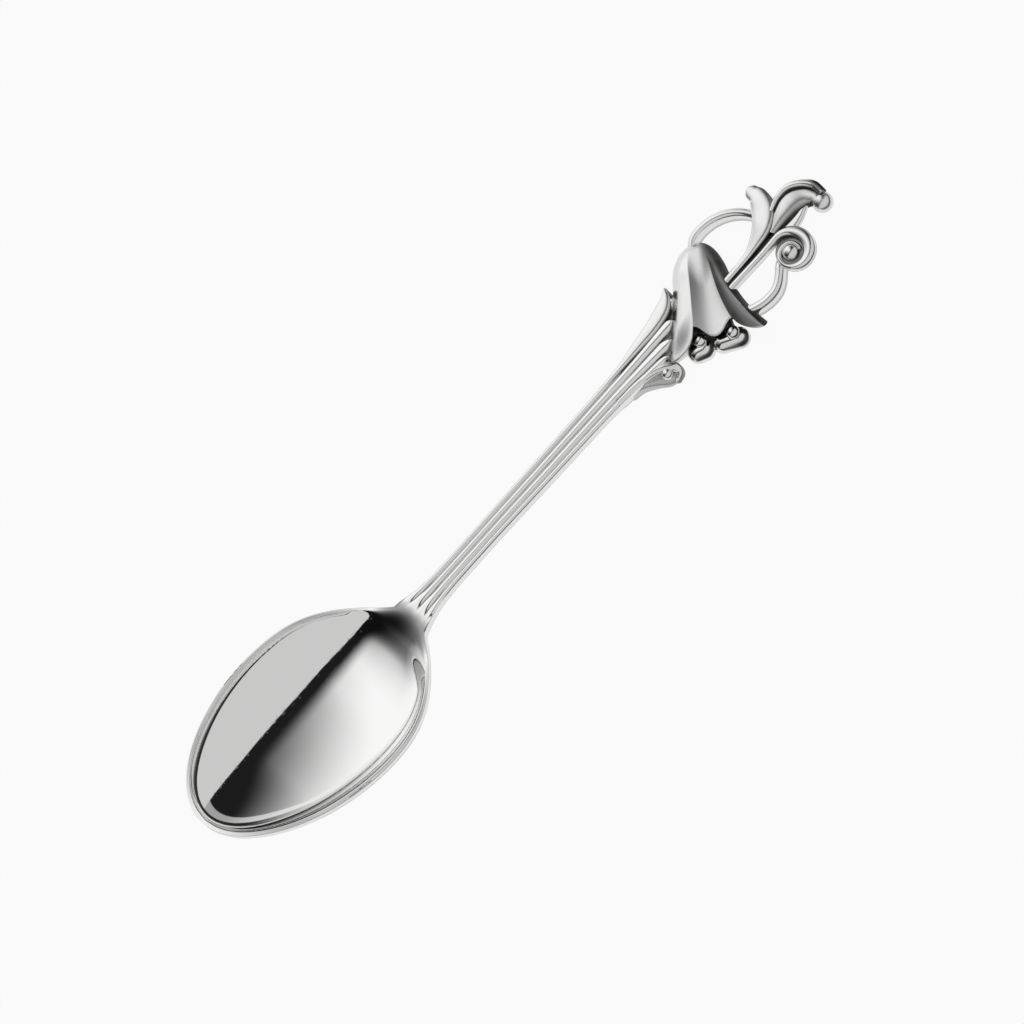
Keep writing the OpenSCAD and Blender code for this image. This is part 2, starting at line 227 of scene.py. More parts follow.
# %% [markdown]
# ## Outline and side view
#
# Seen from above, the bowl is an oval that is a little fuller near the neck, and
# the handle runs on under it. The root of the sum of their squares lets the two
# outlines flow together without a corner. Seen from the side, the rim rises from
# the neck to the tip, and the handle sinks from the neck to the table.


# %% Outline and side view
OVAL_POINT = 0.255
OVAL_FULLNESS = 0.098
HANDLE_HALF = 1.71
HANDLE_SPREAD = 0.011
NECK_SPREAD = 2.0
NECK_SOFTNESS = 1.74
FINIAL_SPREAD = 1.6
SINK_POWER = 2.7
RIM = [(TIP_X - 2, 6.51), (TIP_X + 0.31 * BOWL_LENGTH, 4.2),
       (TIP_X + 0.66 * BOWL_LENGTH, 1.34), (TIP_X + 0.93 * BOWL_LENGTH, -0.87),
       (NECK_X + 1.6, 0), (NECK_X + 14, 0.15), (NECK_X + 30, 0)]


def bowl_place(x):
    """-1 at the tip, 0 in the middle of the bowl and 1 at the neck."""
    return np.clip((x - BOWL_MID) / (BOWL_LENGTH / 2), -1, 1)


def handle_half(x):
    """Half width of the handle: nearly even, with an S-shaped spread at the neck and
    one by the square of the distance at the finial."""
    neck = NECK_SPREAD / (1 + np.exp((x - NECK_X - 1) / NECK_SOFTNESS))
    flare = FINIAL_SPREAD * (np.maximum(x - FLARE_X, 0) / (LOFT_END - FLARE_X)) ** 2
    return HANDLE_HALF + HANDLE_SPREAD * np.maximum(x - NECK_X - 16, 0) + neck + flare


def half_width(x):
    """Root of oval squared plus handle squared. The oval's power grows from a half,
    that of an ellipse, so that it draws in to a point at the neck."""
    place = bowl_place(x)
    oval = 1 - place**2
    full = math.sqrt((BOWL_WIDTH / 2) ** 2 - float(handle_half(np.array(BOWL_MID))) ** 2)
    power = 0.5 + OVAL_POINT * ease(place, 0.18, 1)
    bowl = full * oval**power * (1 + OVAL_FULLNESS * place)
    handle = handle_half(x) * np.where(x < BOWL_MID, np.sqrt(oval), 1)
    return np.hypot(bowl, handle)


def dish(r, shape):
    """(1 - r * r) ** shape: 1 in the middle of a dish and 0 at its rim."""
    return np.maximum(1 - r * r, 0) ** shape


def outer_drop(x, s):
    """How far the outside of the bowl lies below the foot of the rim's edge."""
    depth = BOWL_DEPTH + BOWL_WALL - RIM_EDGE
    return depth * dish(bowl_place(x), WALL_SHAPE) * dish(s, WALL_SHAPE)


def hollow_drop(x, s):
    """How far the hollow lies below the rim. Towards the neck its floor rises more
    gently than to the tip and runs out level, and the wall beside it fades out."""
    ahead = (x - BOWL_MID) / (BOWL_LENGTH / 2 - RIM_WIDTH)
    behind = (x - BOWL_MID) / (HOLLOW_END - BOWL_MID)
    place = np.clip(np.where(x < BOWL_MID, ahead, behind), -1, 1)
    rise = NECK_SLOPE * ease(place, 0, 1) + NECK_RUNOUT * ease(place, 0.67, 1)
    fade = WALL_FADE * ease(place, 0.62, 1)
    return BOWL_DEPTH * dish(place, WALL_SHAPE + rise) * dish(s, WALL_SHAPE + fade)


belly = BOWL_MID + np.arange(0.1, 0.9, 0.02) * BOWL_LENGTH / 2
NECK_Z = float(np.max(outer_drop(belly, 0) + RIM_EDGE - along(RIM, belly)))


def top_z(x):
    """Height of the rim and of the upper side of the handle."""
    sink = (np.maximum(x - NECK_X, 0) / (RING_X - NECK_X)) ** SINK_POWER
    return NECK_Z + along(RIM, x) - (NECK_Z - FINIAL_THICKNESS) * sink


def flat_back(x):
    """0 where the handle is free and 1 where its back lies on the table."""
    return ease(x, FLARE_X, LOFT_END)


def thickness(x):
    """Thickness of the handle, which grows until its back lies on the table."""
    return mix(HANDLE_THICKNESS, top_z(x), flat_back(x))


print(f"rim at the neck {NECK_Z:.2f} mm above the table")

# %% [markdown]
# ## Bowl and handle
#
# Each ring of the loft starts at the left edge, goes over the top to the right and
# comes back underneath. In the bowl the top is a flat rim and a steep-walled dish;
# on the handle it is four round reeds with sharp furrows between them. The columns
# are shared out so that one of them lies in each furrow, which keeps the furrows
# crisp, and every edge is turned with a small round, because a cast and polished
# edge always catches a line of light. Painted shade darkens the furrows, most of
# all where they start and where they run in under the flower.

# %% Reeds
RIM_COLUMNS = 5
REED_COLUMNS = 24
OUTER_COLUMNS = 20
HALF_COLUMNS = REED_COLUMNS + OUTER_COLUMNS + RIM_COLUMNS
UNDER_COLUMNS = 56
EDGE_ROUND = 0.13
REED_ENDS = [9, 11.3, 13.4, 15.3]
REED_POINT = 1.7
REED_END_DEPTH = 0.8


def reed_dip(s):
    """0 on the crest of a reed and 1 in the furrows: the square of the place
    across the reed, which runs from -1 to 1."""
    a = np.abs(s)
    t = np.where(a > FURROW_PLACE, (a - FURROW_PLACE) / (1 - FURROW_PLACE), a / FURROW_PLACE)
    return (2 * t - 1) ** 2


def reed_end(s):
    """X where a reed ends: further back from left to right, and pointed in plan."""
    back = np.select([s > FURROW_PLACE, s > 0, s > -FURROW_PLACE], REED_ENDS[:3], REED_ENDS[3])
    return RING_X - back - REED_POINT * reed_dip(s) ** 0.75


def furrow_shade(x, s):
    """A narrow line of painted shade in each furrow: faint on the handle, dark at its two ends."""
    line = np.where(np.abs(s) < 0.8, ease(reed_dip(s), 0.5, 1.0), 0)
    start = ease(x, NECK_X + 1, NECK_X + 2.6) * ease(x, NECK_X + 9, NECK_X + 3)
    finish = ease(x, RING_X - 26, RING_X - 15)
    ends = np.maximum(0.8 * start, 0.85 * finish)
    return line * np.maximum(0.25 * ease(x, NECK_X + 3, NECK_X + 8), ends)


print("reeds end at", reed_end(np.array([0.8, 0.3, -0.3, -0.8])).round(1), "mm")

# %% Columns over the top
steps = np.arange(-HALF_COLUMNS, HALF_COLUMNS + 1)[::-1]
column_side = np.sign(steps)
column = np.abs(steps)
bowl_columns = HALF_COLUMNS - RIM_COLUMNS
dish_s = np.sin(math.pi / 2 * np.minimum(column / bowl_columns, 1))
on_rim = np.maximum(column - bowl_columns, 0) / RIM_COLUMNS
outer_s = mix(FURROW_PLACE, 1, (column - REED_COLUMNS) / (HALF_COLUMNS - REED_COLUMNS))
inner_s = FURROW_PLACE * column / REED_COLUMNS
reed_s = column_side * np.where(column <= REED_COLUMNS, inner_s, outer_s)
print(len(steps), "columns over the top")


# %% Rings of the loft
def inner_rim(x, w):
    """Share of the half width at the rim's inner edge. Ahead of the middle it's the
    outline drawn in towards the middle, so that it stays round at the tip, and
    behind it a line at one rim's width from the outline."""
    drawn_in = BOWL_MID + (x - BOWL_MID) / (1 - 2 * RIM_WIDTH / BOWL_LENGTH)
    tip_s = half_width(np.minimum(drawn_in, BOWL_MID)) * (1 - 2 * RIM_WIDTH / BOWL_WIDTH) / w
    return np.where(x < BOWL_MID, tip_s, np.maximum(1 - RIM_WIDTH / w, 0.35))


def top_side(x):
    """Points from the left edge over the top to the right edge, for stations x: the
    columns of the dish and its rim go over into those of the reeds behind the neck."""
    x = x[:, None]
    w = half_width(x)
    bowl_s = mix(inner_rim(x, w) * dish_s, 1, on_rim)
    y = w * mix(column_side * bowl_s, reed_s, ease(x, NECK_X, NECK_X + 3.4))
    drop = np.where(on_rim > 0, 0, hollow_drop(x, dish_s))
    reeds = FURROW_DEPTH * ease(x, NECK_X + 0.4, NECK_X + 6) * reed_dip(reed_s)
    end = reed_end(reed_s)
    ended = ease(x, end - 0.15, end + 0.3)
    z = top_z(x) - drop - np.maximum(reeds, REED_END_DEPTH * ended)
    # Painted shade on the lowered ends of the reeds, under the flower's edge.
    end_dark = np.where(reed_s > FURROW_PLACE, 0.4, 0.75) * ended
    dark = np.maximum(furrow_shade(x, reed_s), end_dark)
    return np.stack(np.broadcast_arrays(x, y, z, dark), -1)


def under_side(x):
    """Points from the right edge under the back to the left edge: the outside of the
    dish under the bowl, and under the handle a flank with a domed back, which turns
    flat where it lies on the table."""
    x = x[:, None]
    s = np.sin(np.linspace(-math.pi / 2, math.pi / 2, UNDER_COLUMNS))
    w = half_width(x)
    f = ease(x, NECK_X - 6, NECK_X + 1)
    t = thickness(x)
    flank = mix(RIM_EDGE, t * mix(0.9, 1, flat_back(x)), f)
    body = f * (t - flank) * (1 - s**4) ** 0.6
    y = w * s * mix(1, 0.95, f * (1 - flat_back(x)))
    z = np.maximum(top_z(x) - flank - body - outer_drop(x, s), 0)
    return np.stack(np.broadcast_arrays(x, y, z, 0.0), -1)


def round_corner(before, corner, after, radius, count=5):
    """Quadratic curve that turns the corner, starting and ending a radius from it."""
    def step_to(other):
        way = other - corner
        return corner + way * radius / np.linalg.norm(way[:, :3], axis=-1)[:, None]
    t = np.linspace(0, 1, count)[:, None]
    a, b = step_to(before)[:, None], step_to(after)[:, None]
    return (1 - t) ** 2 * a + 2 * t * (1 - t) * corner[:, None] + t**2 * b


def loft_rings(x):
    """One closed ring for each station, with its four long edges rounded."""
    top = top_side(x)
    under = under_side(x)
    return np.concatenate([
        round_corner(under[:, -1], top[:, 0], top[:, 1], EDGE_ROUND),
        top[:, 1:-1],
        round_corner(top[:, -2], top[:, -1], under[:, 0], EDGE_ROUND),
        round_corner(top[:, -1], under[:, 0], under[:, 3], EDGE_ROUND),
        under[:, 1:-1],
        round_corner(under[:, -4], under[:, -1], top[:, 0], EDGE_ROUND),
    ], 1)


print("a ring of the loft has", loft_rings(np.array([BOWL_MID, NECK_X])).shape[1], "points")

# %% Bowl and handle
near_tip = [1.2, 1.7, 2.3]
bowl_angles = np.radians(np.concatenate([near_tip, np.arange(3, 40, 1), np.arange(41, 150, 1.6)]))
stations = np.concatenate([
    BOWL_MID - BOWL_LENGTH / 2 * np.cos(bowl_angles),
    np.arange(NECK_X - 2.2, NECK_X + 8, 0.12),
    np.arange(NECK_X + 8, RING_X - 20, 0.6),
    np.arange(RING_X - 20, LOFT_END + 0.05, 0.12),
])
bowl_and_handle = cast_mesh("bowl_and_handle", {"loft": loft_rings(stations)})
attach(bowl_and_handle, "root")
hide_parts("coffee_spoon")

# %% [markdown]
# ## How the finial's forms are made
#
# The finial is cast, then chased and polished, and its leaves, scrolls and stems
# are all bands: a path in plan, with a width and a height at each of its places.
# A band has a domed back, upright sides and a level underside. Its section is a
# superellipse, because one number takes it from round to nearly flat with soft
# shoulders, and it can lean to one side like a leaf. Its ends are rounded by
# drawing the last sections in on a quarter circle. Knobs, buds and berries are rods
# and balls, made of rings that shrink with the cosine.


# %% Bands and rods
BAND_COLUMNS = 41
BAND_STEPS = 90
BALL_ROWS = 32
BALL_COLUMNS = 48


def round_off(path, reach):
    """Adds a rounded end to both ends of a path of (x, y, half width, ...): the
    width shrinks with the cosine while the place moves on with the sine."""
    angle = np.radians(np.arange(84, 0, -7))[:, None]
    ends = []
    for first, second in ((path[0], path[1]), (path[-1], path[-2])):
        ahead = first[:2] - second[:2]
        ahead = ahead / np.linalg.norm(ahead)
        end = np.repeat(first[None], len(angle), 0)
        end[:, :2] += ahead * first[2] * reach * np.sin(angle)
        end[:, 2:3] *= np.cos(angle)
        ends.append(end)
    return np.vstack([ends[0], path, ends[1][::-1]])


def band(stations, foot, shoulder, square=2.6, lean=0.0, reach=1.0,
         dark=(0.0, 0.0), dark_from=0.9, count=BAND_STEPS):
    """Rings of a band through stations (x, y, half width, top). Across it, c runs from
    1 to -1 and h from 0 to 1 and back: |c|^square + h^square = 1. The top is at
    top - shoulder * (1 - h) + lean * c, and the underside at foot. The two numbers in
    dark are painted shade on its left and right side, where h is below dark_from."""
    path = round_off(smooth_path(stations, count), reach)
    way = np.gradient(path[:, :2], axis=0)
    way /= np.maximum(np.linalg.norm(way, axis=1), 1e-9)[:, None]
    wide = path[:, 2:3]
    angle = np.linspace(0, math.pi, BAND_COLUMNS)
    c = np.sign(np.cos(angle)) * np.abs(np.cos(angle)) ** (2 / square)
    h = np.sin(angle) ** (2 / square)
    share = np.minimum(wide / wide.max(), 1)
    z = path[:, 3:4] - np.minimum(shoulder, 1.6 * wide) * (1 - h) + lean * share * c
    side = np.where(c > 0, dark[0], dark[1]) * ease(h, dark_from, dark_from / 2)
    c = np.concatenate([c, [-1.0, -0.9, 0.0, 0.9, 1.0]])
    low = np.broadcast_to(foot + np.array([0.1, 0, 0, 0, 0.1]), (len(path), 5))
    z = np.concatenate([np.maximum(z, foot + 0.15), low], 1)
    # The underside gets painted shade too, 0.3 in its middle.
    side = np.concatenate([side, [dark[1], dark[1], 0.3, dark[0], dark[0]]])
    x = path[:, :1] - way[:, 1:] * wide * c
    y = path[:, 1:2] + way[:, :1] * wide * c
    return np.stack(np.broadcast_arrays(x, y, z, side), -1)


def rod(a, b, radius, dark_from=None):
    """Rings of a rod with half-ball ends from a to b; a ball where the two are one.
    Below the height dark_from it is darkened with painted shade."""
    a, b = np.array(a, float), np.array(b, float)
    axis = b - a
    length = np.linalg.norm(axis)
    axis = axis / length if length > 0 else np.array([0.0, 0.0, 1.0])
    side = np.cross(axis, [0.3, 0.2, 0.9] if abs(axis[2]) < 0.9 else [1.0, 0, 0])
    side /= np.linalg.norm(side)
    other = np.cross(axis, side)
    turn = np.linspace(0, 2 * math.pi, BALL_COLUMNS, endpoint=False)[None, :, None]
    tilt = np.radians(np.linspace(-86, 86, BALL_ROWS))[:, None, None]
    middle = np.where(tilt < 0, 0.0, 1.0) * length
    ring = np.cos(turn) * side + np.sin(turn) * other
    points = a + axis * (middle + radius * np.sin(tilt)) + ring * radius * np.cos(tilt)
    height = points[..., 2:]
    dark = 0 * height if dark_from is None else ease(height, dark_from + 0.1, dark_from - 0.25)
    return np.concatenate([points[..., :2], np.maximum(height, 0), dark], -1)


def in_ring(stations):
    """Places that are given from the middle of the ring of stem."""
    return [(RING_X + x, *rest) for x, *rest in stations]


forms = {}
print("a ball has", BALL_ROWS, "rings of", BALL_COLUMNS, "points")

# %% [markdown]
# ## The bell flower
#
# The bell hangs over the end of the handle with its mouth towards the bowl. Two
# ridges part it into three petals that overlap and turn down at their edges. It is
# a surface of a, the distance from the crown along the bell, and s across it. The
# grid has a column on each ridge, so that the ridges stay crisp, and the rings go on
# round the lip and back under it, so that the petals look as thin as they are.

# %% Bell outline
BELL_LENGTH = 16.0
BELL_WIDTH = 14.4
BELL_HEIGHT = 5.4
BELL_FULLNESS = 3.2
CROWN_HEIGHT = 0.62
CROWN_RADIUS = 2.6
BELL_ANGLE = math.radians(235)
CROWN = (RING_X - 2.8, 4.4)
LEFT_RIDGE = 0.31
RIGHT_RIDGE = -0.5
PETAL_RIM = 1.3
RIDGE_END = BELL_LENGTH - CROWN_RADIUS - 3.4
SET_BACK = 4.6
PETAL_DROOP = 0.8
STEEP_END = 0.85
# Painted shade on the bell's steep right side.
STEEP_SIDE_SHADE = 0.95


def bell_half(a, s):
    """Half width: a round crown that opens, on the right only near the mouth."""
    t = (a + CROWN_RADIUS) / BELL_LENGTH
    crown = np.sqrt(1 - (1 - np.clip(t / 0.3, 0, 1)) ** 2)
    left = 0.281 * crown + 0.25 * t**2
    right = 0.215 * crown + 0.474 * np.maximum(t, 0) ** 2.5
    return BELL_WIDTH * np.where(s > 0, left, right)


def across(s):
    """Place across one petal: 0 at the left petal's ridge and the others' left edge."""
    left = (s - LEFT_RIDGE) / (1 - LEFT_RIDGE)
    middle = (LEFT_RIDGE - s) / (LEFT_RIDGE - RIGHT_RIDGE)
    right = (RIGHT_RIDGE - s) / (1 + RIGHT_RIDGE)
    return np.select([s > LEFT_RIDGE, s > RIGHT_RIDGE], [left, middle], right)


def petal_edge(s):
    """Distance a at which each petal ends: the left one reaches furthest, the middle
    one ends in a point and the right one is round."""
    q = across(s)
    left = 3.5 * np.maximum(np.sin(np.radians(130) * q), 0) ** 0.45
    middle = 1.95 * np.sin(math.pi * q) ** 2
    right = 2.0 * np.maximum(np.sin(np.radians(172) * q), 0) ** 0.5
    return RIDGE_END + np.select([s > LEFT_RIDGE, s > RIGHT_RIDGE], [left, middle], right)


def petal_hollow(s):
    """How far each petal sinks below the dome. The middle one falls steeply from its
    left ridge and levels out at the right one, where the right petal goes on down."""
    q = np.clip(across(s), 0, 1)
    left = 0.2 * np.sin(math.pi * q)
    middle = 1.6 * q - 1.15 * q**2
    right = 0.45 * (1 - q**2) + 0.3 * np.sin(math.pi * q)
    return np.select([s > LEFT_RIDGE, s > RIGHT_RIDGE], [left, middle], right)


def petal_fold(s):
    """Painted shade in the folds beside the two ridges, deeper on the right petal."""
    q = np.clip(across(s), 0, 1)
    middle = 0.2 * ease(q, 0.6, 0)
    right = 0.85 * ease(q, 0.75, 0.1)
    return np.select([s > LEFT_RIDGE, s > RIGHT_RIDGE], [0 * q, middle], right)


def bell_place(a, s, z, dark):
    """Turns distance along and place across into x and y."""
    b = s * bell_half(a, s)
    x = CROWN[0] + a * math.cos(BELL_ANGLE) + b * math.sin(BELL_ANGLE)
    y = CROWN[1] + a * math.sin(BELL_ANGLE) - b * math.cos(BELL_ANGLE)
    return np.stack(np.broadcast_arrays(x, y, z, dark), -1)


def bell_top(t, s, inset=0.0, sink=0.0):
    """Upper side, t from 0 at the crown to 1 at the petal edges: a dome across, lower
    at the crown, less the hollows of the petals and the droop of the left one. Inset
    and sink take it in and down to form the lip. Its steep right side, its folds and
    the inside of the lip are darkened with painted shade."""
    a = mix(-CROWN_RADIUS, petal_edge(s), t) - inset
    r = 1 - np.clip((a + CROWN_RADIUS) / BELL_LENGTH / 0.3, 0, 1)
    rise = np.sqrt(1 - r * r)
    dome = np.maximum(1 - np.abs(s) ** BELL_FULLNESS, 0) ** 0.6
    swell = mix(CROWN_HEIGHT, 1, ease(a, -CROWN_RADIUS, 11))
    height = (BELL_HEIGHT - PETAL_RIM) * swell * rise * dome - petal_hollow(s) * ease(t, 0.1, 0.5)
    steep_from = mix(0.1, STEEP_END - 0.0001, ease(a, -2, 8))
    steep = ease(-s, steep_from, STEEP_END)
    fold = petal_fold(s) * ease(t, 0.05, 0.3)
    in_lip = np.minimum(3 * np.maximum(sink - 0.1, 0), 1)
    dark = np.maximum(np.maximum(STEEP_SIDE_SHADE * steep, fold), in_lip)
    droop = PETAL_DROOP * np.sin(math.pi * across(s)) * ease(t, 0.7, 1)
    droop = np.where(s > LEFT_RIDGE, droop, 0)
    z = PETAL_RIM + height - droop - sink * mix(0.4, 1, np.sqrt(dome))
    return bell_place(a, s, np.maximum(z, 0.3), dark)


print("petals end at", petal_edge(np.array([0.7, -0.1, -0.8])).round(1), "mm along the bell")

# %% Bell
PETAL_COLUMNS = 44
MIDDLE_COLUMNS = 52
BELL_RINGS = 110
quarter = np.sin(np.linspace(0, math.pi / 2, PETAL_COLUMNS))
bell_s = np.concatenate([
    LEFT_RIDGE + (1 - LEFT_RIDGE) * quarter[::-1],
    np.linspace(LEFT_RIDGE, RIGHT_RIDGE, MIDDLE_COLUMNS)[1:-1],
    RIGHT_RIDGE - (1 + RIGHT_RIDGE) * quarter,
])
bell_s = np.clip(bell_s, -0.9995, 0.9995)[None, :]
bell_t = mix(0.004, 1, np.linspace(0, 1, BELL_RINGS) ** 1.4)[:, None]
# Rings round the lip of the petals: how far in, and how far down.
lip = [(-0.05, 0.07), (-0.07, 0.2), (0.0, 0.36), (0.2, 0.42), (0.8, 0.7), (1.8, 1.1)]
lip_inset, lip_sink = np.array(lip).T[:, :, None]
bell_upper = bell_top(bell_t, bell_s)
bell_lip = bell_top(np.ones((len(lip), 1)), bell_s, lip_inset, lip_sink)
under_t = np.concatenate([bell_t[:, 0], np.ones(len(lip))])[:, None]
under_a = mix(-CROWN_RADIUS, BELL_LENGTH - CROWN_RADIUS - SET_BACK, under_t)
# The underside and the throat of the bell are painted dark as shade.
bell_under = bell_place(under_a, np.linspace(-0.96, 0.96, 9)[None, :], 0.0, 0.9)
throat = bell_place(BELL_LENGTH - CROWN_RADIUS - SET_BACK - 0.6, 0.0, BELL_HEIGHT / 2, 1.0)
bell_rings = np.concatenate([np.concatenate([bell_upper, bell_lip]), bell_under], 1)
forms["bell"] = (bell_rings, None, throat)
print("bell grid", bell_rings.shape[:2])

# %% [markdown]
# ## Stem, leaves and scrolls
#
# Every form below is one band, or a band with a ball. Painted shade darkens the
# sides that face a neighbour, and the plates and the web that lie under the
# scrolls. The ring is a circle with three changes: a little fuller at its outer
# left, drawn in under the bell's crown, and dented and lowered where the volute
# lies over it. The leaves and scrolls are given by a few stations each, from the
# middle of the ring. The volute is a spiral whose radius and width both shrink
# with the angle.

# %% Ring of stem
RING_RADIUS = 7.05
RING_FROM = 118
RING_TO = -120
RING_TOP = 2.6
RING_DENT = 0.75
ring_t = np.linspace(0, 1, 40)
ring_degrees = mix(RING_FROM, RING_TO, ring_t)
ring_a = np.radians(ring_degrees)
fuller = 0.2 * np.maximum(np.cos(ring_a - math.radians(40)), 0) ** 2
under_crown = 1.2 * (np.maximum(ring_degrees - 95, 0) / 20) ** 2
under_volute = RING_DENT * np.sin(math.pi * np.clip((ring_degrees + 88) / 80, 0, 1)) ** 2
ring_r = RING_RADIUS + mix(0.2, -0.2, ring_t) + fuller - under_crown - under_volute
ring_top = RING_TOP - RING_DENT * ease(ring_a, -0.9, -0.7) * ease(ring_a, 0.2, -0.1)
ring_path = np.stack([RING_X + ring_r * np.cos(ring_a), ring_r * np.sin(ring_a),
                      mix(0.62, 0.72, ring_t), ring_top], 1)
forms["ring"] = band(ring_path, 0, 0.8, square=2.0, count=150)
print(f"ring of stem, radius {ring_r.min():.1f} to {ring_r.max():.1f} mm")

# %% Leaves
side_leaf = [(-26, 1.55, 0.3, 4.25), (-20.8, 1.75, 0.5, 4.2), (-17.4, 2.0, 0.8, 4.15),
             (-14, 2.3, 1.05, 4.0), (-11.3, 2.85, 1.15, 3.95), (-9.8, 3.65, 0.8, 3.85),
             (-8.9, 4.75, 0.25, 3.65)]
forms["side_leaf"] = band(in_ring(side_leaf), 0, 0.6, square=2.4, reach=0.6, dark=(0, 0.9))
curling = [(-2.7, -0.8, 0.45, 2.9), (1.0, -0.75, 0.5, 3.0), (3.1, -0.5, 0.72, 3.1),
           (6.1, 0.4, 1.42, 3.4), (8.0, 2.0, 1.65, 3.4), (8.8, 3.6, 1.42, 3.4),
           (8.8, 4.75, 1.1, 3.3)]
forms["curling_leaf"] = band(in_ring(curling), 1.5, 0.55, square=2.8, reach=0.9, dark=(0, 0.9))
end_leaf = [(6.6, -1.0, 0.7, 3.0), (9.4, -0.45, 1.4, 3.35), (11.4, -0.35, 1.75, 3.3),
            (13.0, -1.0, 1.6, 3.1), (13.75, -2.0, 1.2, 3.0), (13.8, -2.65, 1.05, 2.95)]
forms["end_leaf"] = band(in_ring(end_leaf), 1.5, 1.1, square=2.5, lean=0.1, reach=0.3,
                         dark=(0.35, 1.0), dark_from=1.15)
rolled_rib = [(8.7, 0.9, 0.3, 3.5), (10.5, 1.5, 0.45, 3.65), (12.4, 1.4, 0.52, 3.75),
              (14.0, 0.35, 0.58, 3.75), (15.0, -1.1, 0.66, 3.6), (15.1, -2.5, 0.6, 3.3)]
rib = band(in_ring(rolled_rib), 1.7, 0.7, square=2, reach=0.5, dark=(0, 1.0))
# Painted shade on the right end of the rib.
rib[..., 3] = np.maximum(rib[..., 3], ease(rib[..., 0], RING_X + 14.9, RING_X + 15.5))
forms["rolled_rib"] = rib
lower_rib = [(8.3, -2.45, 0.9, 2.5), (10.4, -2.35, 0.65, 2.6), (12.2, -1.85, 0.45, 2.6)]
forms["lower_rib"] = band(in_ring(lower_rib), 1.65, 0.4, square=2.2, dark=(1.0, 0))
knob = (RING_X + 14.15, -3.2, 1.55)
forms["knob"] = rod(knob, knob, 1.5)
print("leaves made:", [name for name in forms if "leaf" in name])

# %% Scroll beside the handle
side_scroll = [(-24.2, -1.5, 0.35, 4.3), (-21.2, -1.65, 0.48, 4.15), (-18.4, -2.05, 0.58, 3.95),
               (-16.75, -2.75, 0.68, 3.8), (-15.8, -3.75, 0.68, 3.5), (-15.9, -4.65, 0.52, 3.0),
               (-16.75, -5.0, 0.42, 2.6)]
forms["side_scroll"] = band(in_ring(side_scroll), 1.5, 0.6, square=2.1, dark=(0.7, 0))
scroll_plate = [(-22.5, -1.6, 0.5, 3.2), (-20.7, -1.95, 0.6, 3.1), (-18.7, -2.9, 0.95, 2.8),
                (-17.6, -3.6, 1.15, 2.5), (-16.8, -4.0, 1.1, 2.3)]
forms["scroll_plate"] = band(in_ring(scroll_plate), 1.2, 1.2, square=2, count=60)
# The plate under the scroll is painted a little dark as shade.
forms["scroll_plate"][..., 3] = 0.3
scroll_ball = (RING_X - 17.2, -3.6, 2.95)
forms["scroll_ball"] = rod(scroll_ball, scroll_ball, 0.86, dark_from=2.5)
print("scroll's ball at", [round(v, 2) for v in scroll_ball], "mm")

# %% Branch and volute
SCROLL_TOP = 3.1
SCROLL_SINK = 0.5
VOLUTE = (6.3, -4.95)
VOLUTE_RADIUS = 2.75
VOLUTE_START = 95
VOLUTE_TURN = 492
# Share of the radius, and half width, at some angles of the spiral in degrees.
winding = [(-400, 0.46), (-270, 0.5), (-170, 0.73), (-80, 0.87), (0, 0.98), (95, 1.06)]
girth = [(-400, 0.26), (-270, 0.32), (-150, 0.42), (-45, 0.84), (20, 0.86), (95, 0.52)]
volute_a = np.arange(VOLUTE_START, VOLUTE_START - VOLUTE_TURN + 3, -12.0)
volute_t = (VOLUTE_START - volute_a) / VOLUTE_TURN
volute_r = VOLUTE_RADIUS * along(winding, volute_a)
volute = np.stack([VOLUTE[0] + volute_r * np.cos(np.radians(volute_a)),
                   VOLUTE[1] + volute_r * np.sin(np.radians(volute_a)),
                   along(girth, volute_a), SCROLL_TOP - SCROLL_SINK * volute_t], 1)
branch = [(-2.8, -1.98, 0.48, 2.9), (2.8, -2.1, 0.5, 3.0)]
coil = band(in_ring([*branch, *volute]), 1.5, 0.65, square=2.1, dark=(0, 0.9), count=260)
# Painted shade on the coil's sides starts only at the volute.
coil[..., 3] *= ease(coil[..., 0], RING_X + 4, RING_X + 7)
forms["branch"] = coil
web = [(-2.9, -1.4, 0.6, 2.3), (3, -1.4, 0.6, 2.4), (8, -1.5, 0.6, 2.4)]
forms["web"] = band(in_ring(web), 1.55, 0.3, dark=(1, 1))
# The web is painted nearly black as shade.
forms["web"][..., 3] = 0.9
plate = [(6.2, -4.7, 2.1, 2.0), (6.8, -4.7, 2.1, 2.0)]
forms["volute_plate"] = band(in_ring(plate), 1.8, 0.15, count=12)
# The plate under the volute is painted dark as shade.
forms["volute_plate"][..., 3] = 0.6
volute_ball = (RING_X + VOLUTE[0] - 0.1, VOLUTE[1] + 0.05, 2.0)
forms["volute_ball"] = rod(volute_ball, volute_ball, 1.28, dark_from=1.5)
print(f"volute turns {(volute_a[0] - volute_a[-1]) / 360:.2f} times")

# %% [markdown]
# ## Buds and berries
#
# Each bud is a short rod that lies level, with a berry on its back. The berries are
# full rounds, because their mirror-bright points are what the eye goes to first.
# The roots behind them are painted black as shade. A belt along the front of each
# bud is a painted dark reflection, and the lower part of each berry is painted
# shade.

# %% Buds and berries
BUD_RADIUS = 1.55
BERRY_RADIUS = 0.98


